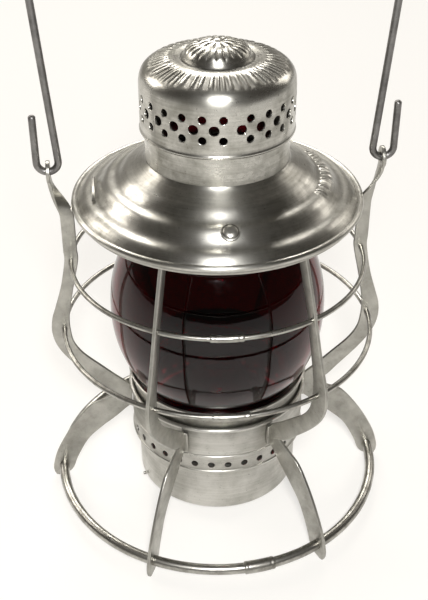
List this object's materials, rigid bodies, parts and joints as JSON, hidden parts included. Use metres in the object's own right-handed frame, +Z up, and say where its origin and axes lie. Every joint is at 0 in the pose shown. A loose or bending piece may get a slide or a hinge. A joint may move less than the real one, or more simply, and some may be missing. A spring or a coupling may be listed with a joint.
{
  "type": "railway hand lantern",
  "caption": "Wire-guarded hand lantern with a ruby glass globe, hinged lid with perforated smoke dome, twist-out oil fount and burner, and a swinging wire bail.",
  "frame": {"origin": "on the floor under the lantern's axis", "axes": "+Z up, -Y the lantern's front with the lid latch, +X and -X the bail eyes"},
  "size_m": [0.18, 0.1735, 0.3867],
  "materials": {
    "tinned_steel": "satin tinplate",
    "strip_steel": "dull tinned strip",
    "bail_steel": "dark bare wire",
    "ruby_glass": "clear ruby glass",
    "burner_brass": "aged brass",
    "wick_cotton": "woven cotton"
  },
  "bodies": {
    "root": {"upright_front_left": "strip_steel", "upright_front_right": "strip_steel", "upright_left": "strip_steel", "upright_right": "strip_steel", "upright_back_left": "strip_steel", "upright_back_right": "strip_steel", "base_ring": "tinned_steel", "base_ring_ferrule": "tinned_steel", "lower_guard_ring": "tinned_steel", "lower_guard_ferrule": "tinned_steel", "upper_guard_ring": "tinned_steel", "upper_guard_ferrule": "tinned_steel", "collar_band": "tinned_steel", "vent_band": "tinned_steel", "globe_cup": "tinned_steel", "globe": "ruby_glass", "frame_top_ring": "strip_steel", "hinge_bracket": "strip_steel", "hinge_pin": "strip_steel"},
    "lid": {"lid_shell": "tinned_steel", "chimney_collar": "tinned_steel", "smoke_dome": "tinned_steel", "draft_baffle": "tinned_steel", "globe_retainer": "tinned_steel", "latch_rivet": "tinned_steel", "lid_hinge_leaf": "strip_steel", "lid_loop": "tinned_steel"},
    "latch": {"latch_spring": "strip_steel"},
    "fount": {"fount_can": "tinned_steel", "filler_cap": "burner_brass", "fount_stud": "strip_steel", "burner_collar": "burner_brass", "burner_body": "burner_brass", "flame_deflector": "burner_brass", "wick_tube": "burner_brass"},
    "wick_spindle": {"wick_spindle": "burner_brass", "wick_knob": "burner_brass"},
    "wick": {"wick": "wick_cotton"},
    "bail": {"bail": "bail_steel"}
  },
  "joints": [
    {"name": "bail_swing", "type": "hinge", "parent": "root", "child": "bail", "pos_m": [0, 0, 0.185], "axis": [1, 0, 0], "range_deg": [-150, 150]},
    {"name": "lid_hinge", "type": "hinge", "parent": "root", "child": "lid", "pos_m": [0, 0.0705, 0.1655], "axis": [-1, 0, 0], "range_deg": [0, 110]},
    {"name": "lid_latch", "type": "hinge", "parent": "lid", "child": "latch", "pos_m": [0, -0.05, 0.1755], "axis": [1, 0, 0], "range_deg": [0, 8], "stiffness_Nm_per_rad": 0.05},
    {"name": "fount_twist", "type": "hinge", "parent": "root", "child": "fount", "pos_m": [0, 0, 0.02], "axis": [0, 0, 1], "range_deg": [0, 35]},
    {"name": "wick_turn", "type": "hinge", "parent": "fount", "child": "wick_spindle", "pos_m": [0, 0.0042, 0.054], "axis": [-1, 0, 0], "range_deg": [-60, 180]},
    {"name": "wick_travel", "type": "slide", "parent": "fount", "child": "wick", "axis": [0, 0, 1], "range_m": [-0.0031, 0.0093]}
  ],
  "couplings": [
    {"joint": "wick_travel", "follows": "wick_turn", "m_per_rad": 0.0029}
  ]
}
